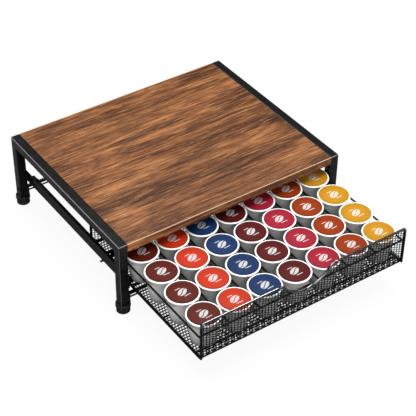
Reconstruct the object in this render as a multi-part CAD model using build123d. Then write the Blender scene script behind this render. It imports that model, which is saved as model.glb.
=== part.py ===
"""Coffee pod drawer: a wood-topped steel stand with a wire mesh drawer that slides out to the front.

Millimetres, +Z up, the front faces -Y. The drawer is drawn pulled out to its stops. The origin is at
floor level, in the middle of the footprint that the stand and the open drawer cover together.
"""

import os
from math import cos, radians, sqrt

from build123d import *

# --- Coffee pods, the standard part that everything else is laid out around ---
pod_columns = 7
pod_rows = 5
pod_rim_radius = 25.5
pod_rim_lip = 2.9
pod_rim_thickness = 1.5
pod_cup_base_radius = 18.2
pod_cup_wall = 0.9
pod_height = 46.0
pod_foil_thickness = 0.3
pod_foil_margin = 2.3
pod_column_gap = 0.83
pod_row_gap = 1.4
front_room = 5.2  # from the drawer's front to the first row's cell
rear_room = 27.8  # behind the last row's cell
rows_left_empty = 1  # the last row, out of sight under the board

# --- Stand: two side frames of mitred square tube, a board between them ---
stand_height = 127.5
tube_width = 14.8
tube_wall = 1.2
tube_corner = 1.6
board_thickness = 13.0
board_side_gap = 0.1
band_thickness = 1.0
closed_rear_room = 27.0  # from the closed drawer's back to the stand's back
drawer_travel = 180.4

# --- Rubber feet that the legs stand in ---
foot_height = 15.5
foot_collar_height = 5.5
foot_collar_wall = 1.0
foot_socket_floor = 5.0
foot_base_radius = 10.6
foot_edge = 1.0
socket_clearance = 0.1

# --- Board tabs and their screws ---
tab_sheet = 1.5
tab_hold = 9.0
tab_reach = 12.5
tab_length = 16.0
tab_setback = 40.0
board_screw_radius = 1.6
board_screw_head_radius = 3.4
board_screw_head = 2.0
board_screw_bite = 9.0
screw_clearance = 0.15

# --- Stretchers that hold the side frames apart, front and back ---
stretcher_radius = 3.0
tie_rod_radius = 1.3
tie_rod_drop = 7.8
end_plate_sheet = 2.0
end_plate_margin = 3.0
end_plate_gap = 0.4  # above the foot
end_plate_inset = 1.5
frame_screw_radius = 1.9
frame_screw_head_radius = 3.6
frame_screw_head = 1.9
frame_screw_bite = 9.0
hex_key_width = 2.4
hex_key_depth = 1.0

# --- Runners ---
runner_base = 43.6
runner_height = 19.0
runner_width = 15.0
runner_sheet = 1.5
runner_side_gap = 0.5
runner_inset = 1.0
runner_relief = 9.0
slide_gap = 0.3
tongue_width = 6.0
tongue_height = 5.0
tongue_inset = 1.5
stop_rod_radius = 1.7
stop_rod_overhang = 2.9
stop_rod_reach = 9.0
stop_rod_setback = 76.5

# --- Drawer: welded wire with mesh panels ---
base_wire_radius = 2.1
rim_wire_radius = 1.5
front_wire_radius = 1.9
divider_radius = 1.6
cross_wire_radius = 1.5
front_corner_bend = 5.0
front_wire_setback = 12.0
front_top_clearance = 1.0
mesh_sheet = 0.8
pod_stands_proud = 8.9  # from the rim wires up to the pods' own rims
scoop_half_width = 52.0
scoop_radius = 48.0
stop_tab_sheet = 1.5
stop_tab_width = 7.0
stop_tab_inset = 1.2
stop_tab_drop = 4.4
mesh_border = 2.0
front_mesh_pitch = 14.0
side_mesh_pitch = 17.0
floor_mesh_pitch = 36.0
mesh_strand = 1.7

# --- Places worked out from the sizes above ---
pod_cup_top_radius = pod_rim_radius - pod_rim_lip
column_pitch = 2 * pod_rim_radius + pod_column_gap
row_pitch = 2 * pod_rim_radius + pod_row_gap
drawer_width = pod_columns * column_pitch
drawer_depth = front_room + pod_rows * row_pitch + rear_room
stand_width = drawer_width + 2 * (runner_side_gap + runner_sheet + tube_width)
stand_depth = drawer_depth + closed_rear_room

foot_overhang = (sqrt(2) - 1) * tube_width / 2 + foot_collar_wall
stand_y = (drawer_travel - foot_overhang) / 2
stand_front = stand_y - stand_depth / 2
stand_back = stand_y + stand_depth / 2
half_width = stand_width / 2
half_drawer = drawer_width / 2
drawer_front = stand_front - drawer_travel
drawer_back = drawer_front + drawer_depth

inner_face = half_width - tube_width
rail_underside = stand_height - tube_width
board_underside = stand_height - board_thickness

runner_outer = inner_face
runner_inner = runner_outer - runner_sheet
runner_edge = runner_outer - runner_width
runner_top = runner_base + runner_sheet

base_z = runner_top + slide_gap + base_wire_radius
floor_z = base_z + base_wire_radius
pod_z = floor_z + mesh_sheet
rim_z = pod_z + pod_height - pod_rim_thickness - pod_stands_proud
front_top_z = board_underside - front_top_clearance - front_wire_radius
scoop_depth = front_top_z - rim_z

front_wire_y = drawer_front + front_wire_radius
front_mesh_y = drawer_front + 2 * front_wire_radius
inside_front = front_mesh_y + mesh_sheet
post_x = half_drawer - front_wire_radius
base_x = half_drawer - base_wire_radius
rim_x = half_drawer - rim_wire_radius
back_rim_y = drawer_back - rim_wire_radius
stop_rod_y = stand_front + stop_rod_setback
stop_rod_z = runner_base - stop_rod_radius

stretcher_y = stand_front + tube_width / 2
tie_rod_height = foot_height + end_plate_gap + end_plate_margin + tie_rod_radius
stretcher_height = tie_rod_height + tie_rod_drop

middle = Plane(origin=(0, stand_y, 0), z_dir=(0, 1, 0))


def to_the_right(piece):
    """The same piece on the right-hand side."""
    return mirror(piece, about=Plane.YZ)


def to_the_back(piece):
    """The same piece at the back of the stand."""
    return mirror(piece, about=middle)


def all_corners(piece):
    """A front left piece repeated at the four corners of the stand."""
    pair = [piece, to_the_back(piece)]
    return pair + [to_the_right(one) for one in pair]


def save(name, *pieces):
    """Writes one named node, of one or more separate solids."""
    solids = [solid for piece in pieces for solid in piece.solids()]
    shape = solids[0] if len(solids) == 1 else Compound(children=solids)
    export_step(shape, f"parts/{name}.step")


def box(x, y, z):
    """A block from three (low, high) pairs."""
    low = (x[0], y[0], z[0])
    size = (x[1] - x[0], y[1] - y[0], z[1] - z[0])
    return Pos(*low) * Box(*size, align=(Align.MIN, Align.MIN, Align.MIN))


def rod(start, end, radius):
    """A straight round bar from one point to another."""
    a, b = Vector(*start), Vector(*end)
    ends = Plane(origin=a, z_dir=b - a)
    return extrude(ends * Circle(radius), (b - a).length)


def tube_section(spread=0.0):
    """The square tube's section with one corner at the origin, loosened by spread for a socket."""
    outside = tube_width + 2 * spread
    inside = tube_width - 2 * (tube_wall + spread)
    ring = RectangleRounded(outside, outside, tube_corner) - Rectangle(inside, inside)
    return Pos(tube_width / 2, tube_width / 2) * ring


# --- Stand -------------------------------------------------------------------------------------


def mitre(at_front=True):
    """The 45 degree cut where a leg meets its top rail."""
    lean = 1 if at_front else -1
    corner = stand_y - lean * stand_depth / 2
    return Plane(origin=(0, corner, stand_height), z_dir=(0, lean, 1))


def leg():
    """Front left leg, mitred under the top rail and drilled for the stretcher's screw."""
    foot_of_leg = Plane(origin=(-half_width, stand_front, foot_socket_floor))
    bar = extrude(foot_of_leg * tube_section(), stand_height - foot_socket_floor)
    bar = split(bar, bisect_by=mitre(), keep=Keep.BOTTOM)
    hole = frame_screw_radius + screw_clearance
    return bar - rod(frame_screw_point(-1), frame_screw_point(tube_width + 1), hole)


def frame_screw_point(inward):
    """A point on the front left screw's axis, this far in from the leg's outer face."""
    return (-half_width + inward, stretcher_y, stretcher_height)


def top_rail():
    """Left top rail, beside the board, mitred to the legs at both ends."""
    section = Plane(origin=(-half_width, stand_front, stand_height), x_dir=(1, 0, 0), z_dir=(0, 1, 0))
    bar = extrude(section * tube_section(), stand_depth)
    bar = split(bar, bisect_by=mitre(), keep=Keep.TOP)
    return split(bar, bisect_by=mitre(at_front=False), keep=Keep.TOP)


def foot():
    """Front left foot: a turned rubber pad whose collar and plug take the end of the leg."""
    centre = tube_width / 2
    collar = centre + foot_overhang
    waist = foot_height - foot_collar_height
    edge = foot_edge / 2
    outline = Polyline(
        (0, 0),
        (foot_base_radius - foot_edge, 0),
        (foot_base_radius, foot_edge),
        (collar - 2 * edge, waist - edge),
        (collar, waist),
        (collar, foot_height - edge),
        (collar - edge, foot_height),
        (0, foot_height),
        close=True,
    )
    turned = revolve(Plane.XZ * make_face(outline), Axis.Z)
    corner = (-half_width, stand_front)
    turned = Pos(corner[0] + centre, corner[1] + centre, 0) * turned
    socket = Plane(origin=(*corner, foot_socket_floor)) * tube_section(socket_clearance)
    return turned - extrude(socket, foot_height)


tab_rows = [stand_front + tab_setback, stand_y, stand_back - tab_setback]
board_screw_x = inner_face - (tab_reach + tab_sheet) / 2
board_screw_hole = board_screw_radius + screw_clearance


def board_tab(y):
    """Left stepped tab, welded under the rail, that carries the board's edge."""
    along = (y - tab_length / 2, y + tab_length / 2)
    under_rail = (rail_underside - tab_sheet, rail_underside)
    welded = box((-inner_face - tab_hold, -inner_face), along, under_rail)
    step = box((-inner_face, -inner_face + tab_sheet), along, (under_rail[0], board_underside))
    shelf = box((-inner_face, -inner_face + tab_reach), along, (board_underside - tab_sheet, board_underside))
    low, high = (-board_screw_x, y, under_rail[0]), (-board_screw_x, y, board_underside + 1)
    return welded + step + shelf - rod(low, high, board_screw_hole)


def board_screw(y):
    """Left pan head screw, up through a tab into the board."""
    seat = board_underside - tab_sheet
    outline = Polyline(
        (0, seat - board_screw_head),
        (board_screw_head_radius - board_screw_head / 2, seat - board_screw_head),
        (board_screw_head_radius, seat - board_screw_head / 2),
        (board_screw_head_radius, seat),
        (board_screw_radius, seat),
        (board_screw_radius, board_underside + board_screw_bite),
        (0, board_underside + board_screw_bite),
        close=True,
    )
    return Pos(-board_screw_x, y, 0) * revolve(Plane.XZ * make_face(outline), Axis.Z)


def top_board():
    """The board between the rails, with pilot holes over the tabs."""
    side = inner_face - board_side_gap
    ends = (stand_front + band_thickness, stand_back - band_thickness)
    board = box((-side, side), ends, (board_underside, stand_height))
    for y in tab_rows:
        for x in (-board_screw_x, board_screw_x):
            top = board_underside + board_screw_bite
            board -= rod((x, y, board_underside - 1), (x, y, top), board_screw_radius)
    return board


def front_band():
    """The laminate strip that closes the board's front edge."""
    side = inner_face - board_side_gap
    edge = (stand_front, stand_front + band_thickness)
    return box((-side, side), edge, (board_underside, stand_height))


def end_plate():
    """Front left plate, against the leg, that the stretcher and the tie rod are welded to."""
    along = tube_width / 2 - end_plate_inset
    plate = box(
        (-inner_face, -inner_face + end_plate_sheet),
        (stretcher_y - along, stretcher_y + along),
        (foot_height + end_plate_gap, stretcher_height + stretcher_radius + end_plate_margin),
    )
    hole = frame_screw_radius + screw_clearance
    start, end = frame_screw_point(tube_wall), frame_screw_point(tube_width + 2 * end_plate_sheet)
    return plate - rod(start, end, hole)


def stretcher():
    """Front stretcher bar between the end plates, bored at both ends for the frame screws."""
    end = inner_face - end_plate_sheet
    bar = rod((-end, stretcher_y, stretcher_height), (end, stretcher_y, stretcher_height), stretcher_radius)
    for side in (-1, 1):
        mouth = (side * (end + 1), stretcher_y, stretcher_height)
        bottom = (side * (end - frame_screw_bite), stretcher_y, stretcher_height)
        bar -= rod(mouth, bottom, frame_screw_radius)
    return bar


def tie_rod():
    """The thin rod under the front stretcher."""
    end = inner_face - end_plate_sheet
    return rod((-end, stretcher_y, tie_rod_height), (end, stretcher_y, tie_rod_height), tie_rod_radius)


def frame_screw():
    """Front left button head screw, through the leg into the stretcher."""
    tip = tube_width + end_plate_sheet + frame_screw_bite
    dome = ThreePointArc(
        (frame_screw_head_radius, 0),
        (0.76 * frame_screw_head_radius, -0.62 * frame_screw_head),
        (0, -frame_screw_head),
    )
    shank = Polyline(
        (0, -frame_screw_head),
        (0, tip),
        (frame_screw_radius, tip),
        (frame_screw_radius, 0),
        (frame_screw_head_radius, 0),
    )
    turned = revolve(make_face(dome + shank), Axis.Y)
    key = Plane(origin=(0, -frame_screw_head, 0), z_dir=(0, 1, 0))
    turned -= extrude(key * RegularPolygon(hex_key_width / 2, 6, major_radius=False), hex_key_depth)
    return Plane(origin=frame_screw_point(0), x_dir=(0, -1, 0), z_dir=(0, 0, 1)) * turned


# --- Runners and the drawer's stops ------------------------------------------------------------


def runner():
    """Left runner: a folded sheet welded to the legs, with a lanced tongue that stops the drawer."""
    upright = box(
        (-runner_outer, -runner_inner),
        (stand_front + runner_inset, stand_back - runner_inset),
        (runner_base, runner_base + runner_height),
    )
    track = box(
        (-runner_outer, -runner_edge),
        (stand_front + runner_relief, stand_back - runner_relief),
        (runner_base, runner_top),
    )
    tongue_x = (-runner_edge - tongue_inset - tongue_width, -runner_edge - tongue_inset)
    tongue_y = drawer_back + drawer_travel + slide_gap
    bend = tongue_y + runner_sheet
    window = box(tongue_x, (bend, bend + tongue_height), (runner_base - 1, runner_top + 1))
    tongue = box(tongue_x, (tongue_y, bend), (runner_base, runner_top + tongue_height))
    return upright + track - window + tongue


def stop_rod():
    """Left rod welded under the runner, which the drawer's tab meets when it is pulled out."""
    start = (-runner_outer - stop_rod_overhang, stop_rod_y, stop_rod_z)
    return rod(start, (-runner_edge + stop_rod_reach, stop_rod_y, stop_rod_z), stop_rod_radius)


# --- Mesh panels -------------------------------------------------------------------------------


def diamond(x, y, wide, high):
    """The outline of one gap in the expanded mesh."""
    return Wire.make_polygon([(x - wide, y), (x, y - high), (x + wide, y), (x, y + high)], close=True)


def net(outline, low, high, pitch, fits):
    """A sheet lying in XY with staggered diamond gaps wherever fits(x, y, wide, high) allows."""
    wide = (pitch - mesh_strand) / 2
    rows = max(2, round((high[1] - low[1]) / (pitch / 2)))
    rise = (high[1] - low[1]) / (rows + 1)
    tall = rise - mesh_strand / 2
    count = int((high[0] - low[0]) / pitch)
    middle_x = (low[0] + high[0]) / 2
    gaps = []
    for row in range(1, rows + 1):
        y = low[1] + row * rise
        for step in range(-count, count + 1):
            x = middle_x + (step + 0.5 * (row % 2)) * pitch
            if fits(x, y, wide, tall):
                gaps.append(diamond(x, y, wide, tall))
    return extrude(Face(outline, gaps), mesh_sheet, dir=(0, 0, 1))


def rectangular_net(length, height, pitch):
    """A net over a rectangle with one corner at the origin, its border left whole."""
    outline = Wire.make_polygon([(0, 0), (length, 0), (length, height), (0, height)], close=True)

    def fits(x, y, wide, high):
        inside_x = mesh_border <= x - wide and x + wide <= length - mesh_border
        return inside_x and mesh_border <= y - high and y + high <= height - mesh_border

    return net(outline, (mesh_border, mesh_border), (length - mesh_border, height - mesh_border), pitch, fits)


# The scoop is an arc between two shoulders of the opposite curve, all tangent.
curves = (scoop_half_width**2 + scoop_depth**2) / (2 * scoop_depth)
shoulder_radius = curves - scoop_radius
scoop_turn_x = scoop_half_width * scoop_radius / curves


def scoop_height(x):
    """Height of the front panel's top line at x."""
    x = abs(x)
    if x < scoop_turn_x:
        return rim_z + scoop_radius - sqrt(scoop_radius**2 - x**2)
    if x < scoop_half_width:
        return front_top_z - shoulder_radius + sqrt(shoulder_radius**2 - (scoop_half_width - x) ** 2)
    return front_top_z


def scoop_arcs():
    """The finger scoop's shoulder, dip and shoulder, from left to right."""
    half_shoulder = (scoop_half_width + scoop_turn_x) / 2

    def point(x):
        return (x, scoop_height(x))

    return [
        ThreePointArc(point(-scoop_half_width), point(-half_shoulder), point(-scoop_turn_x)),
        ThreePointArc(point(-scoop_turn_x), point(0), point(scoop_turn_x)),
        ThreePointArc(point(scoop_turn_x), point(half_shoulder), point(scoop_half_width)),
    ]


def front_mesh():
    """The front panel's mesh, cut along the scoop, hung behind the front wire."""
    low_z = base_z
    lines = Polyline(
        (scoop_half_width, front_top_z),
        (post_x, front_top_z),
        (post_x, low_z),
        (-post_x, low_z),
        (-post_x, front_top_z),
        (-scoop_half_width, front_top_z),
    )
    edges = [*lines.edges(), *[edge for arc in scoop_arcs() for edge in arc.edges()]]
    outline = Wire(edges)

    def fits(x, y, wide, high):
        roof = min(scoop_height(x + step * wide) for step in (-1, -0.5, 0, 0.5, 1)) - mesh_border
        return abs(x) + wide <= post_x - mesh_border and low_z + mesh_border <= y - high and y + high <= roof

    low = (-post_x + mesh_border, low_z + mesh_border)
    high = (post_x - mesh_border, front_top_z - mesh_border)
    sheet = net(outline, low, high, front_mesh_pitch, fits)
    upright = Plane(origin=(0, front_mesh_y, 0), x_dir=(1, 0, 0), z_dir=(0, -1, 0))
    return upright * (Pos(0, 0, -mesh_sheet) * sheet)


def floor_mesh():
    """The floor that the pods stand on, laid over the base wires."""
    side = rim_x + mesh_sheet / 2
    back = back_rim_y + mesh_sheet / 2
    sheet = rectangular_net(2 * side, back - inside_front, floor_mesh_pitch)
    return Pos(-side, inside_front, floor_z) * sheet


def side_mesh():
    """Left side panel, between the floor and the rim wire."""
    length = back_rim_y - rim_wire_radius - inside_front
    sheet = rectangular_net(length, rim_z - rim_wire_radius - pod_z, side_mesh_pitch)
    upright = Plane(origin=(-rim_x - mesh_sheet / 2, inside_front, pod_z), x_dir=(0, 1, 0), z_dir=(1, 0, 0))
    return upright * sheet


def back_mesh():
    """Back panel, between the corner posts."""
    side = rim_x - rim_wire_radius
    sheet = rectangular_net(2 * side, rim_z - rim_wire_radius - pod_z, side_mesh_pitch)
    upright = Plane(origin=(-side, back_rim_y + mesh_sheet / 2, pod_z), x_dir=(1, 0, 0), z_dir=(0, -1, 0))
    return upright * sheet


# --- Drawer wires ------------------------------------------------------------------------------


def front_top_wire():
    """The front panel's top wire: it turns down at both corners and dips along the scoop."""
    bend = front_corner_bend
    down = front_top_z - bend
    turn = bend * (1 - cos(radians(45)))
    left = [
        ThreePointArc((-post_x, down), (-post_x + turn, front_top_z - turn), (-post_x + bend, front_top_z)),
        Line((-post_x + bend, front_top_z), (-scoop_half_width, front_top_z)),
    ]
    right = [
        Line((scoop_half_width, front_top_z), (post_x - bend, front_top_z)),
        ThreePointArc((post_x - bend, front_top_z), (post_x - turn, front_top_z - turn), (post_x, down)),
    ]
    pieces = [edge for curve in (*left, *scoop_arcs(), *right) for edge in curve.edges()]
    upright = Plane(origin=(0, front_wire_y, 0), x_dir=(1, 0, 0), z_dir=(0, -1, 0))
    path = upright * Wire(pieces)
    start = Plane(origin=(-post_x, front_wire_y, down), z_dir=(0, 0, 1))
    return sweep(start * Circle(front_wire_radius), path=path)


def front_post():
    """Left corner wire of the front panel, below the top wire's bend."""
    start = (-post_x, front_wire_y, base_z)
    return rod(start, (-post_x, front_wire_y, front_top_z - front_corner_bend), front_wire_radius)


def side_base_wire():
    """Left bottom wire, which rides on the runner."""
    return rod((-base_x, inside_front, base_z), (-base_x, drawer_back, base_z), base_wire_radius)


def base_cross(y):
    """A bottom wire from side to side, between the side wires."""
    end = base_x - base_wire_radius
    return rod((-end, y, base_z), (end, y, base_z), base_wire_radius)


def side_rim_wire():
    """Left rim wire, from the front panel to the back corner."""
    return rod((-rim_x, inside_front, rim_z), (-rim_x, drawer_back, rim_z), rim_wire_radius)


def rim_cross(y):
    """A rim wire from side to side."""
    end = rim_x - rim_wire_radius
    return rod((-end, y, rim_z), (end, y, rim_z), rim_wire_radius)


def back_post():
    """Left back corner post, between the floor and the rim wire."""
    return rod((-rim_x, back_rim_y, pod_z), (-rim_x, back_rim_y, rim_z - rim_wire_radius), rim_wire_radius)


def divider_wires():
    """The wires that keep the columns of pods apart."""
    front_end = inside_front + 2 * rim_wire_radius
    back_end = back_rim_y - rim_wire_radius
    wires = []
    for column in range(1, pod_columns):
        x = (column - pod_columns / 2) * column_pitch
        wires.append(rod((x, front_end, rim_z), (x, back_end, rim_z), divider_radius))
    return wires


stop_tab_y = stop_rod_y + stop_rod_radius + slide_gap
stop_cross_y = stop_tab_y + stop_tab_sheet + cross_wire_radius


def floor_cross_wires():
    """Wires under the floor mesh; the one furthest back carries the stop tabs."""
    end, z = base_x - base_wire_radius, floor_z - cross_wire_radius
    first = inside_front + front_wire_setback
    wires = []
    for third in (1, 2, 3):
        y = first + (stop_cross_y - first) * third / 3
        wires.append(rod((-end, y, z), (end, y, z), cross_wire_radius))
    return wires


def stop_tab():
    """Left tab, hung from the cross wire beside the runner, that meets the stop rod."""
    outer = runner_edge - stop_tab_inset
    return box(
        (-outer, -outer + stop_tab_width),
        (stop_tab_y, stop_tab_y + stop_tab_sheet),
        (base_z - base_wire_radius - stop_tab_drop, floor_z),
    )


# --- Pods --------------------------------------------------------------------------------------


def pod_cup():
    """A tapered pod cup with its rim, open at the top under the foil."""
    flange = pod_height - pod_rim_thickness
    outline = Polyline(
        (0, 0),
        (pod_cup_base_radius, 0),
        (pod_cup_top_radius, flange),
        (pod_rim_radius, flange),
        (pod_rim_radius, pod_height),
        (pod_cup_top_radius - pod_cup_wall, pod_height),
        (pod_cup_base_radius - pod_cup_wall, pod_cup_wall),
        (0, pod_cup_wall),
        close=True,
    )
    return revolve(Plane.XZ * make_face(outline), Axis.Z)


def pod_foil():
    """The round foil on a pod's rim."""
    return Pos(0, 0, pod_height) * extrude(Circle(pod_rim_radius - pod_foil_margin), pod_foil_thickness)


def column_of(piece, column):
    """Copies of a pod piece down one column, from the front."""
    x = (column - (pod_columns - 1) / 2) * column_pitch
    first = drawer_front + front_room + row_pitch / 2
    return [Pos(x, first + row * row_pitch, pod_z) * piece for row in range(pod_rows - rows_left_empty)]


foil_colours = ["brown", "orange", "blue", "maroon", "crimson", "rust", "amber"]


def save_stand():
    save("top_board", top_board())
    save("front_edge_band", front_band())
    save("rear_edge_band", to_the_back(front_band()))
    save("left_top_rail", top_rail())
    save("right_top_rail", to_the_right(top_rail()))
    for name, piece in (("leg", leg()), ("foot", foot())):
        corners = all_corners(piece)
        for corner, shape in zip(("front_left", "rear_left", "front_right", "rear_right"), corners):
            save(f"{corner}_{name}", shape)
    tabs = [board_tab(y) for y in tab_rows]
    screws = [board_screw(y) for y in tab_rows]
    save("left_board_tabs", *tabs)
    save("right_board_tabs", *[to_the_right(tab) for tab in tabs])
    save("board_screws", *screws, *[to_the_right(screw) for screw in screws])
    for end, place in (("front", lambda piece: piece), ("rear", to_the_back)):
        save(f"{end}_stretcher", place(stretcher()))
        save(f"{end}_tie_rod", place(tie_rod()))
    save("stretcher_end_plates", *all_corners(end_plate()))
    save("stretcher_screws", *all_corners(frame_screw()))


def save_runners():
    for side, place in (("left", lambda piece: piece), ("right", to_the_right)):
        save(f"{side}_runner", place(runner()))
        save(f"{side}_stop_rod", place(stop_rod()))


def save_drawer():
    save("front_mesh", front_mesh())
    save("floor_mesh", floor_mesh())
    save("back_mesh", back_mesh())
    save("front_top_wire", front_top_wire())
    for side, place in (("left", lambda piece: piece), ("right", to_the_right)):
        save(f"{side}_mesh", place(side_mesh()))
        save(f"{side}_front_post", place(front_post()))
        save(f"{side}_base_wire", place(side_base_wire()))
        save(f"{side}_rim_wire", place(side_rim_wire()))
    save("front_base_wire", base_cross(inside_front + front_wire_setback))
    save("back_base_wire", base_cross(drawer_back - base_wire_radius))
    save("front_rim_wire", rim_cross(inside_front + rim_wire_radius))
    save("back_rim_wire", rim_cross(back_rim_y))
    save("back_corner_posts", back_post(), to_the_right(back_post()))
    save("divider_wires", *divider_wires())
    save("floor_cross_wires", *floor_cross_wires())
    save("stop_tabs", stop_tab(), to_the_right(stop_tab()))


def save_pods():
    cup, foil = pod_cup(), pod_foil()
    save("pod_cups", *[piece for column in range(pod_columns) for piece in column_of(cup, column)])
    for column in range(pod_columns):
        save(f"pod_foils_{foil_colours[column]}", *column_of(foil, column))


os.makedirs("parts", exist_ok=True)
save_stand()
save_runners()
save_drawer()
save_pods()
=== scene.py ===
import random
from math import atan2, ceil, cos, hypot, pi, radians, sin, sqrt

import bpy
from mathutils import Matrix, Vector

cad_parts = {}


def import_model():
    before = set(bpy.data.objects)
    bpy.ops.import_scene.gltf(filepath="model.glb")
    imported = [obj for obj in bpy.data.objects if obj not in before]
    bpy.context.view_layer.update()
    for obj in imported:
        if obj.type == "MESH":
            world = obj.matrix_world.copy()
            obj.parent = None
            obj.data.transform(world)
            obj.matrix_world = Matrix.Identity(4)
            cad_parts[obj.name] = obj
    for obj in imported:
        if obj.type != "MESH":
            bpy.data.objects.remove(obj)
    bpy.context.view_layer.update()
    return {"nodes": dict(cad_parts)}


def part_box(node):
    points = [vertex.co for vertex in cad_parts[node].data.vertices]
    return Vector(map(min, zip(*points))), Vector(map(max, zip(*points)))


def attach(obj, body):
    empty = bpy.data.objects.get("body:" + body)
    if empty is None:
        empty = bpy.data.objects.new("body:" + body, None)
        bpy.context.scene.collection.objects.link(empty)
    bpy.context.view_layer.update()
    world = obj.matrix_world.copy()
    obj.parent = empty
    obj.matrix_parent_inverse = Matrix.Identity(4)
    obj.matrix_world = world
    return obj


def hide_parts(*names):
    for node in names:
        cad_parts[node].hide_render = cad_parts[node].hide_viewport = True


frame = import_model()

parts = frame["nodes"]
mm = 0.001
chance = random.Random(7)


# --- Materials -----------------------------------------------------------------------------------


def socket_name(word):
    """The shader's own name for a socket, such as Base Color for base_color."""
    return word.replace("_", " ").title().replace("Ior", "IOR")


class Value:
    """A socket that can be used in sums."""

    def __init__(self, paint, socket):
        self.paint = paint
        self.socket = socket

    def maths(self, operation, *others):
        inputs = dict(enumerate((self, *others)))
        return self.paint.add("ShaderNodeMath", {"operation": operation}, inputs)

    def __add__(self, other):
        return self.maths("ADD", other)

    def __sub__(self, other):
        return self.maths("SUBTRACT", other)

    def __mul__(self, other):
        return self.maths("MULTIPLY", other)

    def __truediv__(self, other):
        return self.maths("DIVIDE", other)

    def __rsub__(self, other):
        return self.paint.add("ShaderNodeMath", {"operation": "SUBTRACT"}, {0: other, 1: self})

    __radd__ = __add__
    __rmul__ = __mul__

    def power(self, exponent):
        return self.maths("POWER", exponent)

    def step(self, low, high):
        """0 below low, 1 above high, and smooth between."""
        settings = {"interpolation_type": "SMOOTHSTEP"}
        inputs = {"Value": self, "From Min": low, "From Max": high}
        return self.paint.add("ShaderNodeMapRange", settings, inputs, "Result")

    def between(self, low, high):
        """The 0 to 1 value, spread from low to high."""
        inputs = {"Value": self, "To Min": low, "To Max": high}
        return self.paint.add("ShaderNodeMapRange", {}, inputs, "Result")


class Paint:
    """One material and its nodes."""

    def __init__(self, name, **finish):
        self.material = bpy.data.materials.new(name)
        self.material.use_nodes = True
        self.tree = self.material.node_tree
        self.shader = self.tree.nodes["Principled BSDF"]
        for socket, value in finish.items():
            self.shader.inputs[socket_name(socket)].default_value = value

    def add(self, kind, settings, inputs, output=0):
        node = self.tree.nodes.new(kind)
        for name, value in settings.items():
            if name == "stops":
                self.stops(node.color_ramp, value)
            else:
                setattr(node, name, value)
        for place, value in inputs.items():
            self.put(node.inputs[place], value)
        return Value(self, node.outputs[output])

    def stops(self, ramp, stops):
        while len(ramp.elements) < len(stops):
            ramp.elements.new(1.0)
        for element, (place, colour) in zip(ramp.elements, stops):
            element.position = place
            element.color = (*colour, 1)

    def put(self, socket, value):
        if isinstance(value, Value):
            self.tree.links.new(value.socket, socket)
        elif socket.type == "RGBA" and len(value) == 3:
            socket.default_value = (*value, 1)
        else:
            socket.default_value = value

    def place(self):
        """Where a point lies on the object, in metres."""
        return self.add("ShaderNodeTexCoord", {}, {}, "Object")

    def on_face(self):
        """A point's own map coordinates."""
        return self.add("ShaderNodeTexCoord", {}, {}, "UV")

    def scaled(self, vector, size, move=(0, 0, 0)):
        return self.add("ShaderNodeMapping", {}, {"Vector": vector, "Scale": size, "Location": move})

    def noise(self, vector, scale, detail=2.0, roughness=0.5, distortion=0.0):
        inputs = {"Vector": vector, "Scale": scale, "Detail": detail}
        inputs |= {"Roughness": roughness, "Distortion": distortion}
        return self.add("ShaderNodeTexNoise", {}, inputs, "Fac")

    def axes(self, vector):
        split = self.tree.nodes.new("ShaderNodeSeparateXYZ")
        self.put(split.inputs[0], vector)
        return [Value(self, one) for one in split.outputs]

    def blend(self, amount, first, second, how="MIX"):
        settings = {"data_type": "RGBA", "blend_type": how}
        return self.add("ShaderNodeMix", settings, {"Factor": amount, 6: first, 7: second}, 2)

    def ramp(self, value, *stops):
        return self.add("ShaderNodeValToRGB", {"stops": stops}, {"Fac": value})

    def bump(self, height, strength, depth):
        inputs = {"Height": height, "Strength": strength, "Distance": depth}
        self.put(self.shader.inputs["Normal"], self.add("ShaderNodeBump", {}, inputs))

    def set(self, **sockets):
        for socket, value in sockets.items():
            self.put(self.shader.inputs[socket_name(socket)], value)
        return self.material


# The stand's top, from its left rail: the right one mirrors it.
stand_low, stand_high = (Vector(corner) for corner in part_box("left_top_rail"))
stand_high.x = -stand_low.x
stand_middle, stand_reach = (stand_low.y + stand_high.y) / 2, (stand_high.y - stand_low.y) / 2

# In metres in from an edge: where the painted highlight on the stand's outer edges starts, and where it
# is palest.
highlight_width, highlight_core = 0.0012, 0.0005


def enamel(name, colour, shine, grain, scale, painted_highlight=False, **finish):
    """Black paint baked on steel: a fine orange peel, uneven gloss and, if asked for, paler outer edges
    painted as a highlight.

    shine is the roughness, grain the strength of the peel and scale its fineness.
    """
    paint = Paint(name, **finish)
    place = paint.place()
    peel = paint.noise(place, scale, 2, 0.5)
    cloud = paint.noise(place, 40, 4, 0.6)
    paint.bump(peel, grain, 0.0003)
    shade = paint.blend(cloud, colour, tuple(1.8 * part for part in colour))
    if painted_highlight:
        # Paler lines along the stand's outer top, side and end edges are a painted highlight.
        x, y, z = paint.axes(place)

        def highlight_near(distance, edge):
            return distance.step(edge - highlight_width, edge - highlight_core)

        side_edge = highlight_near(x.maths("ABSOLUTE"), stand_high.x)
        top_edge = highlight_near(z, stand_high.z)
        end_edge = highlight_near((y - stand_middle).maths("ABSOLUTE"), stand_reach)
        edge = (side_edge * top_edge).maths("MAXIMUM", end_edge * top_edge)
        edge = edge.maths("MAXIMUM", side_edge * end_edge * 0.35)
        shade = paint.blend(edge * 0.8, shade, (0.3, 0.3, 0.3))
    return paint.set(base_color=shade, roughness=cloud.between(shine - 0.07, shine + 0.1))


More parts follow.
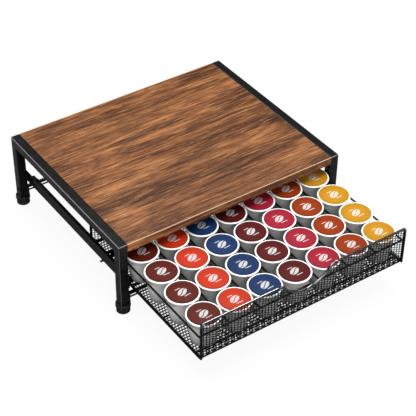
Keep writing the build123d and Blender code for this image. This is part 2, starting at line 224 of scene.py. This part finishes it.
def walnut(name, light=1.0, highlight_above=None):
    """Brown wood, grain along X: dark clouds, pale flares, streaks, and fine dark and pale lines.

    light brightens every shade. Above the height given last the wood is pale: a painted highlight along
    its top edge.
    """
    paint = Paint(name, specular_ior_level=0.25, coat_roughness=0.3)
    place = paint.place()
    cloud = paint.noise(paint.scaled(place, (5, 24, 24)), 1, 5, 0.62, 1.1)
    streak = paint.noise(paint.scaled(place, (7, 190, 190), (3, 1, 0)), 1, 6, 0.74, 0.4)
    fibre = paint.noise(paint.scaled(place, (20, 400, 400)), 1, 4, 0.75, 0.2)
    flare = paint.noise(paint.scaled(place, (6, 70, 70), (7, 2, 0)), 1, 4, 0.6, 1.2)
    tone = cloud * 0.37 + streak * 0.33 + fibre * 0.3
    shades = [(0.026, 0.009, 0.005), (0.088, 0.03, 0.011), (0.24, 0.092, 0.031), (0.55, 0.25, 0.09)]
    dark, brown, warm, pale = [tuple(light * part for part in shade) for shade in shades]
    wood = paint.ramp(tone, (0.37, dark), (0.455, brown), (0.53, warm), (0.63, pale))
    wood = paint.blend(flare.step(0.56, 0.72) * 0.55, wood, pale)
    patch = paint.noise(paint.scaled(place, (3, 11, 11), (1, 5, 0)), 1, 3, 0.6, 1.5).step(0.42, 0.6)
    wood = paint.blend((1 - patch) * 0.55, wood, brown, "MULTIPLY")
    pores = paint.noise(paint.scaled(place, (30, 560, 560)), 1, 3, 0.7).step(0.54, 0.62)
    wood = paint.blend(pores * 0.5, wood, dark)
    glint = paint.noise(paint.scaled(place, (24, 430, 430), (2, 9, 0)), 1, 3, 0.7).step(0.56, 0.64)
    wood = paint.blend(glint * 0.35, wood, pale)
    if highlight_above:
        # A pale line along the top edge: painted highlight.
        corner = paint.axes(place)[2].step(highlight_above - 0.0006, highlight_above + 0.0003)
        wood = paint.blend(corner * 0.85, wood, (0.62, 0.42, 0.27))
    paint.bump(fibre * 0.6 - pores, 0.25, 0.0003)
    paint.set(roughness=streak.between(0.38, 0.52), coat_weight=cloud.between(0.02, 0.08))
    return paint.set(base_color=wood)


def rubber():
    """Matte black rubber with a moulded grain."""
    paint = Paint("black rubber", specular_ior_level=0.4)
    place = paint.place()
    grain = paint.noise(place, 1900, 2, 0.5)
    scuff = paint.noise(place, 150, 5, 0.65).step(0.48, 0.75)
    paint.bump(grain, 0.3, 0.0002)
    shade = paint.blend(scuff, (0.008, 0.008, 0.008), (0.035, 0.035, 0.034))
    return paint.set(base_color=shade, roughness=scuff.between(0.4, 0.62))


def cup_with_painted_shade(rim_height):
    """Pod plastic: white, with the cup below the rim painted grey as shade, a little cloudy."""
    paint = Paint("cup plastic", specular_ior_level=0.45)
    place = paint.place()
    cloud = paint.noise(place, 90, 3, 0.6)
    paint.bump(paint.noise(place, 700, 2), 0.08, 0.0002)
    # The grey of the cup below the rim is painted shade on white plastic.
    body = paint.blend(cloud, (0.44, 0.44, 0.43), (0.54, 0.54, 0.53))
    rim = paint.axes(place)[2].step(rim_height - 0.0008, rim_height)
    tone = paint.blend(rim, body, (0.92, 0.91, 0.9))
    return paint.set(base_color=tone, roughness=cloud.between(0.3, 0.42))


def foil(name, colour):
    """A printed lid: one colour with a pale bean between two bars, creased by the heat seal."""
    paint = Paint(name, specular_ior_level=0.15)
    across, up, _ = paint.axes(paint.on_face())
    far = (across * across + up * up).power(0.5)
    pale = tuple(0.3 * part + 0.48 for part in colour)
    deep = tuple(0.72 * part for part in colour)
    shade = paint.blend(far.step(0.35, 1.05) * 0.55, colour, deep)
    # The bean: an oval with a curved crease, tipped to one side.
    turn = 0.45
    along = across * cos(turn) + up * sin(turn)
    side = up * cos(turn) - across * sin(turn)
    oval = ((along / 0.38) * (along / 0.38) + (side / 0.235) * (side / 0.235)).power(0.5)
    crease = (side - (along * 8.0).maths("SINE") * 0.04).maths("ABSOLUTE")
    bean = (1 - oval.step(0.95, 1.03)) * crease.step(0.024, 0.036)

    def bar(x, y, half_length):
        long_way = ((across - x).maths("ABSOLUTE") - half_length).maths("MAXIMUM", 0.0)
        return 1 - (long_way * long_way + (up - y) * (up - y)).power(0.5).step(0.022, 0.036)

    bars = bar(-0.1, 0.37, 0.15).maths("MAXIMUM", bar(0.12, -0.38, 0.2))
    shade = paint.blend(bean.maths("MAXIMUM", bars) * 0.92, shade, pale)
    wrinkle = paint.noise(paint.on_face(), 3.2, 3, 0.6, 0.6)
    paint.bump(wrinkle, 0.25, 0.0006)
    return paint.set(base_color=shade, roughness=wrinkle.between(0.3, 0.42))


steel_black, wire_black = (0.004, 0.004, 0.0042), (0.003, 0.003, 0.0032)
# The stand's steel carries the painted edge highlight.
steel = enamel("black powder coat", steel_black, 0.26, 0.04, 1100, painted_highlight=True, specular_ior_level=0.4)
runner_steel = enamel("runner paint", steel_black, 0.28, 0.05, 1100, specular_ior_level=0.4)
wire_paint = enamel("wire enamel", wire_black, 0.3, 0.1, 700, specular_ior_level=0.15)
mesh_paint = enamel("mesh enamel", wire_black, 0.3, 0.1, 900, specular_ior_level=0.25)
gloss = {"specular_ior_level": 1.0, "coat_weight": 1.0, "coat_roughness": 0.1, "coat_ior": 2.0}
gloss_paint = enamel("glossy wire enamel", wire_black, 0.16, 0.02, 700, **gloss)
screw_black = enamel("black oxide", (0.011, 0.011, 0.012), 0.3, 0.12, 2500)
board_wood = walnut("walnut")
# The edge band's pale top line is a painted highlight.
edge_wood = walnut("walnut edge", 1.55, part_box("top_board")[1][2] - 0.001)
foot_rubber = rubber()
white_rim_above_base = 0.0432
cup_plastic = cup_with_painted_shade(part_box("pod_cups")[0][2] + white_rim_above_base)
foils = {
    "brown": foil("brown foil", (0.08, 0.008, 0.003)),
    "orange": foil("orange foil", (0.42, 0.026, 0.006)),
    "blue": foil("blue foil", (0.007, 0.026, 0.088)),
    "maroon": foil("maroon foil", (0.074, 0.006, 0.006)),
    "crimson": foil("crimson foil", (0.28, 0.012, 0.028)),
    "rust": foil("rust foil", (0.235, 0.03, 0.004)),
    "amber": foil("amber foil", (0.46, 0.215, 0.011)),
}


# --- Helpers for pieces --------------------------------------------------------------------------


def piece(name, mesh, material, slot, node):
    """A finished mesh as one piece of the drawer, in place of a CAD node."""
    made = bpy.data.objects.new(name, mesh)
    bpy.context.scene.collection.objects.link(made)
    mesh.materials.append(material)
    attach(made, "drawer")
    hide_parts(node)


def mesh_from(name, points, faces, smooth=False):
    mesh = bpy.data.meshes.new(name)
    mesh.from_pydata([tuple(point) for point in points], [], faces)
    mesh.validate()
    for face in mesh.polygons:
        face.use_smooth = smooth
    return mesh


def turned(profile, steps):
    """Points and faces of a profile of (radius, height) pairs turned about Z."""
    points, faces = [], []
    for radius, height in profile:
        for step in range(steps):
            angle = 2 * pi * step / steps
            points.append((radius * cos(angle), radius * sin(angle), height))
    for ring in range(len(profile) - 1):
        for step in range(steps):
            beside = (step + 1) % steps
            low, high = ring * steps, (ring + 1) * steps
            faces.append((low + step, low + beside, high + beside, high + step))
    return points, faces


def dress(node, material, bevel=0.0):
    """Gives a CAD node its finish and rounds its edges by bevel millimetres."""
    made = parts[node]
    made.data.materials.clear()
    made.data.materials.append(material)
    if bevel:
        softer = made.modifiers.new("edge", "BEVEL")
        softer.width = bevel * mm
        softer.segments = 2
        softer.limit_method = "ANGLE"
        softer.angle_limit = radians(40)
        softer.harden_normals = True


# --- Fine mesh -----------------------------------------------------------------------------------

# Millimetres. The cell is the one measured on the front panel in the photo.
cell_pitch = 5.2
cell_height = 4.3
bridge_share = 0.43  # half a bridge's length, as a share of the pitch
strand_depth = 0.7
least_rise = 0.5  # between a strand's last bend and its top

# A strand's section, in half widths across and depths through the sheet.
rounded = [(-1, 0), (-0.55, 0.5), (0.55, 0.5), (1, 0), (0.55, -0.5), (-0.55, -0.5)]
flat_bar = [(-1, 0.5), (1, 0.5), (1, -0.5), (-1, -0.5)]


class Sheet:
    """A flat wall of stretched mesh, laid out in millimetres along and up its own face."""

    def __init__(self, node, normal, section=rounded, crosswise=False):
        self.node, self.section = node, section
        self.low, self.high = (Vector(corner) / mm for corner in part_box(node))
        self.flat = "XYZ".index(normal)
        self.wide, self.tall = [axis for axis in range(3) if axis != self.flat]
        if crosswise:
            self.wide, self.tall = self.tall, self.wide
        self.width = self.high[self.wide] - self.low[self.wide]
        self.height = self.high[self.tall] - self.low[self.tall]
        self.points, self.faces = [], []

    def strand(self, line, across, half_width):
        """One flattened strand along a line of points, with its width laid along the given axis."""
        first, sides = len(self.points), len(self.section)
        for spot in line:
            for side, level in self.section:
                point = [0, 0, 0]
                point[self.wide] = self.low[self.wide] + spot[0]
                point[self.tall] = self.low[self.tall] + spot[1]
                point[self.flat] = (self.low[self.flat] + self.high[self.flat]) / 2 + level * strand_depth
                point[across] += side * half_width
                self.points.append([part * mm for part in point])
        last = len(self.points) - sides
        for ring in range(first, last, sides):
            for one in range(sides):
                beside = (one + 1) % sides
                self.faces.append((ring + one, ring + beside, ring + sides + beside, ring + sides + one))
        self.faces.append([first + one for one in reversed(range(sides))])
        self.faces.append([last + one for one in range(sides)])

    def lower(self, level):
        """Takes the sheet's bottom edge down to a level."""
        self.low[self.tall] = level
        self.height = self.high[self.tall] - level

    def fill(self, top, strand_width=1.45, bridge_width=1.15):
        """Strands that wave up the sheet to top(x), joined by staggered bridges."""
        columns = round(self.width / cell_pitch)
        pitch = self.width / columns
        wave = (0.5 - bridge_share) * pitch
        rows = ceil(self.height / cell_height) + 1
        for column in range(1, columns):
            x = column * pitch
            line = [(x, 0.0)]
            for step in range(1, 2 * rows):
                bend = x + wave * (1 if (step + column) % 2 else -1)
                y = step * cell_height / 2
                if y > top(bend) - least_rise:
                    break
                line.append((bend, y))
            line.append((x, top(x)))
            self.strand(line, self.wide, strand_width / 2)
        for x in (strand_width / 2, self.width - strand_width / 2):
            self.strand([(x, 0), (x, top(x))], self.wide, strand_width / 2)
        self.line(bridge_width / 2, bridge_width / 2)
        for column in range(columns):
            x = (column + 0.5) * pitch
            ends = (x - bridge_share * pitch, x + bridge_share * pitch)
            for row in range(1, rows):
                y = (row - 0.5 * (column % 2)) * cell_height
                if y < min(top(end) for end in ends) - bridge_width:
                    self.strand([(end, y) for end in ends], self.tall, bridge_width / 2)

    def line(self, level, half_width):
        """A straight strand along the whole sheet."""
        self.strand([(0, level), (self.width, level)], self.tall, half_width)

    def finish(self, name):
        mesh = mesh_from(name, self.points, self.faces)
        piece(name, mesh, mesh_paint, "mesh", self.node)


def flat_mesh(node, normal, section=rounded, crosswise=False, **widths):
    sheet = Sheet(node, normal, section, crosswise)
    sheet.fill(lambda x: sheet.height, **widths)
    sheet.finish(node + "_fine")


# The finger scoop: a round bottom between two round shoulders that meet it smoothly.
front_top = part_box("front_mesh")[1][2] / mm
rim_level = sum(corner[2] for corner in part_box("front_rim_wire")) / 2 / mm
scoop_half_width, scoop_radius = 52.0, 48.0
scoop_depth = front_top - rim_level
curves = (scoop_half_width**2 + scoop_depth**2) / (2 * scoop_depth)
shoulder_radius = curves - scoop_radius
scoop_turn = scoop_half_width * scoop_radius / curves


def scoop_height(x):
    """Height of the front panel's top line at x."""
    x = abs(x)
    if x < scoop_turn:
        return rim_level + scoop_radius - sqrt(scoop_radius**2 - x**2)
    if x < scoop_half_width:
        return front_top - shoulder_radius + sqrt(shoulder_radius**2 - (scoop_half_width - x) ** 2)
    return front_top


edge_height = 2.8  # of the floor mesh's edge where it is turned up at the sides
fold_half_width = 0.4
hem_levels = (1.9, 3.1, 5.3, 6.6)
hem_half_width = 0.42


def turned_up_edge(side):
    """The floor mesh's edge, turned up inside the base wire: above it the drawer's side is open."""
    sheet = Sheet(side + "_mesh", "X")
    sheet.fill(lambda y: edge_height)
    sheet.line(edge_height - fold_half_width, fold_half_width)
    sheet.finish(side + "_mesh_edge")


def front_panel_mesh():
    """The scooped front, with its bottom rows closed up where the mesh is folded under the drawer."""
    above_wire_bottom = 0.2
    sheet = Sheet("front_mesh", "Y")
    sheet.lower(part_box("front_base_wire")[0][2] / mm + above_wire_bottom)
    sheet.fill(lambda x: scoop_height(sheet.low.x + x) - sheet.low.z)
    for level in hem_levels:
        sheet.line(level, hem_half_width)
    sheet.finish("front_mesh_fine")


# --- Pods ----------------------------------------------------------------------------------------

pod_steps = 48
pod_columns, pod_rows = 7, 4
pod_rim_radius, lid_radius = 25.5, 23.2
flutes, flute_depth = 24, 0.22
flutes_low, flutes_high, flutes_beyond = 2.5, 13.5, 16  # two heights and a radius
lid_turn = 0.07  # the most that a lid's print is turned, in radians
# A lid from its middle outwards, as pairs of radius and height above the pod's top.
lid_dish = [(0.0, 0.32), (6, 0.3), (12, 0.24), (18, 0.12), (21.5, 0.0), (22.6, 0.1), (lid_radius, 0.25)]


def cup_profile(height):
    """Half the outline of a pod cup, from the middle of its base to inside its rim."""
    return [
        (0.0, 2.2), (13.2, 2.2), (14.0, 0.4), (14.9, 0.0), (17.2, 0.0), (18.0, 0.5), (18.35, 1.6),
        (19.3, 13.0), (19.6, 14.6), (20.6, 15.8), (20.9, 17.0), (22.3, 38.6), (22.5, 41.5),
        (22.9, 43.3), (24.9, 43.9), (25.3, 44.3), (pod_rim_radius, 45.0), (25.35, 45.7), (24.9, height),
        (23.7, height + 0.05), (23.1, height - 0.1), (22.6, height - 0.2),
    ]


def pod_places():
    """The middle of each pod's base, column by column, and the height of a pod."""
    low, high = (Vector(corner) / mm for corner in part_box("pod_cups"))
    first = low + Vector((pod_rim_radius, pod_rim_radius, 0))
    reach = high - low - Vector((2 * pod_rim_radius, 2 * pod_rim_radius, 0))
    places = []
    for column in range(pod_columns):
        for row in range(pod_rows):
            x = first.x + column * reach.x / (pod_columns - 1)
            y = first.y + row * reach.y / (pod_rows - 1)
            places.append((column, Vector((x, y, low.z))))
    return places, high.z - low.z


def fluted(points):
    """The cup's points, with shallow flutes round its lower part."""
    moved = []
    for x, y, z in points:
        angle, radius = atan2(y, x), hypot(x, y)
        if flutes_low < z < flutes_high and radius > flutes_beyond:
            radius -= flute_depth * (1 + cos(flutes * angle)) / 2
        moved.append(Vector((radius * cos(angle), radius * sin(angle), z)))
    return moved


def repeated(points, faces, places):
    """One set of points and faces at each place, in metres."""
    all_points, all_faces = [], []
    for place in places:
        start = len(all_points)
        all_points += [(place + Vector(point)) * mm for point in points]
        all_faces += [tuple(start + corner for corner in face) for face in faces]
    return all_points, all_faces


def print_map(points):
    """A lid's points on its own print, where the lid's edge is at 1, turned a little at random."""
    turn = chance.uniform(-lid_turn, lid_turn)
    across, along = cos(turn) / lid_radius, sin(turn) / lid_radius
    return [(x * across - y * along, x * along + y * across) for x, y, z in points]


def make_pods():
    places, height = pod_places()
    points, faces = turned(cup_profile(height), pod_steps)
    cups = repeated(fluted(points), faces, [place for _, place in places])
    mesh = mesh_from("pod_cups_moulded", *cups, smooth=True)
    piece("pod_cups_moulded", mesh, cup_plastic, "cup", "pod_cups")
    points, faces = turned([(radius, height + lift) for radius, lift in lid_dish], pod_steps)
    for column, colour in enumerate(foils):
        node = "pod_foils_" + colour
        own_places = [place for its_column, place in places if its_column == column]
        mesh = mesh_from(node + "_printed", *repeated(points, faces, own_places), smooth=True)
        spots = [spot for _ in own_places for spot in print_map(points)]
        layer = mesh.uv_layers.new(name="lid")
        for loop in mesh.loops:
            layer.data[loop.index].uv = spots[loop.vertex_index]
        piece(node + "_printed", mesh, foils[colour], "foil_" + colour, node)


# --- Putting it together -------------------------------------------------------------------------

for node in parts:
    if node.endswith(("_leg", "_top_rail")):
        dress(node, steel, 0.35)
    elif node.endswith(("_runner", "_board_tabs", "_end_plates")):
        dress(node, runner_steel, 0.2)
    elif node.endswith("_foot"):
        dress(node, foot_rubber)
    elif node.endswith("_screws"):
        dress(node, screw_black)
    elif node == "top_board":
        dress(node, board_wood, 0.3)
    elif node.endswith("_edge_band"):
        dress(node, edge_wood, 0.2)
    elif node.endswith(("_stretcher", "_tie_rod", "_stop_rod")):
        dress(node, steel)
    elif node == "pod_cups":
        dress(node, cup_plastic)
    elif node.startswith("pod_foils"):
        dress(node, foils[node.split("_")[-1]])
    elif node.endswith("_mesh"):
        dress(node, mesh_paint)
    elif node == "front_top_wire":
        dress(node, gloss_paint)
    else:
        dress(node, wire_paint)

front_panel_mesh()
flat_mesh("floor_mesh", "Z", flat_bar, crosswise=True, strand_width=1.6, bridge_width=1.2)
for side in ("left", "right"):
    turned_up_edge(side)
flat_mesh("back_mesh", "Y")
make_pods()


# --- Floor, light and camera ---------------------------------------------------------------------


def floor():
    """A floor that looks white and keeps the object's faint shadow, but is dark in reflections."""
    paint = Paint("white floor", roughness=0.9, specular_ior_level=0.0)
    ray = paint.tree.nodes.new("ShaderNodeLightPath")
    kinds = ("Is Camera Ray", "Is Transmission Ray", "Is Glossy Ray")
    straight, through, glossy = (Value(paint, ray.outputs[kind]) for kind in kinds)
    seen = straight.maths("MAXIMUM", through)
    paint.set(base_color=paint.blend(glossy, (0.85, 0.85, 0.85), (0.14, 0.14, 0.14)))
    glow_share = 0.93
    glow = paint.add("ShaderNodeEmission", {}, {"Color": (1, 1, 1), "Strength": 1.0})
    shader = Value(paint, paint.shader.outputs[0])
    mixed = paint.add("ShaderNodeMixShader", {}, {0: seen * glow_share, 1: shader, 2: glow})
    paint.tree.links.new(mixed.socket, paint.tree.nodes["Material Output"].inputs[0])
    reach = 12
    corners = [(-reach, -reach, 0), (reach, -reach, 0), (reach, reach, 0), (-reach, reach, 0)]
    mesh = mesh_from("floor", corners, [(0, 1, 2, 3)])
    mesh.materials.append(paint.material)
    made = bpy.data.objects.new("floor", mesh)
    made.location.z = -0.0002
    bpy.context.scene.collection.objects.link(made)


def lamp(name, place, target, size, power):
    """A rectangular lamp, in metres and watts, aimed at a target."""
    light = bpy.data.lights.new(name, "AREA")
    light.shape = "RECTANGLE"
    light.size, light.size_y = size
    light.energy = power
    made = bpy.data.objects.new(name, light)
    made.location = place
    made.rotation_euler = (Vector(target) - Vector(place)).to_track_quat("-Z", "Y").to_euler()
    bpy.context.scene.collection.objects.link(made)


def world():
    """White to the camera, nearly dark in reflections, and dim for all other light."""
    made = bpy.data.worlds.new("studio")
    made.use_nodes = True
    bpy.context.scene.world = made
    nodes, links = made.node_tree.nodes, made.node_tree.links
    back = nodes["Background"]
    back.inputs["Color"].default_value = (1, 1, 1, 1)
    ray = nodes.new("ShaderNodeLightPath")
    strength = back.inputs["Strength"]
    for kind, own_strength in (("Is Camera Ray", 1.0), ("Is Glossy Ray", 0.08)):
        choice = nodes.new("ShaderNodeMapRange")
        choice.inputs["To Max"].default_value = own_strength
        links.new(ray.outputs[kind], choice.inputs["Value"])
        links.new(choice.outputs["Result"], strength)
        strength = choice.inputs["To Min"]
    strength.default_value = 0.22


def camera():
    """The photo's own view, solved from the object's corners in it."""
    place = (-0.89348, -1.29003, 1.33180)
    yaw, pitch, roll = radians(34.847), radians(-38.971), radians(0.5215)
    ahead = Vector((sin(yaw) * cos(pitch), cos(yaw) * cos(pitch), sin(pitch)))
    level = Vector((cos(yaw), -sin(yaw), 0))
    upright = level.cross(ahead)
    right = level * cos(roll) + upright * sin(roll)
    up = upright * cos(roll) - level * sin(roll)
    eye = bpy.data.cameras.new("camera")
    eye.sensor_width = 36
    eye.lens = 113.69
    eye.clip_start, eye.clip_end = 0.05, 60
    made = bpy.data.objects.new("camera", eye)
    turn = Matrix((right, up, -ahead)).transposed().to_4x4()
    made.matrix_world = Matrix.Translation(place) @ turn
    bpy.context.scene.collection.objects.link(made)
    bpy.context.scene.camera = made


floor()
world()
lamp("key", (-0.45, -0.2, 1.75), (0, 0, 0.05), (1.2, 1.2), 21)
lamp("strip", (0.62, 0.1, 1.65), (-0.1, -0.1, 0.1), (1.6, 0.24), 22)
lamp("fill", (-0.3, -1.6, 0.9), (0, -0.1, 0.06), (1.2, 0.6), 10)
lamp("side", (1.4, -0.9, 1.1), (0, -0.1, 0.06), (0.8, 0.8), 4)
lamp("back", (-0.3, 1.15, 1.4), (0, 0.05, 0.08), (0.6, 0.4), 8)
camera()
bpy.context.scene.view_settings.view_transform = "Standard"
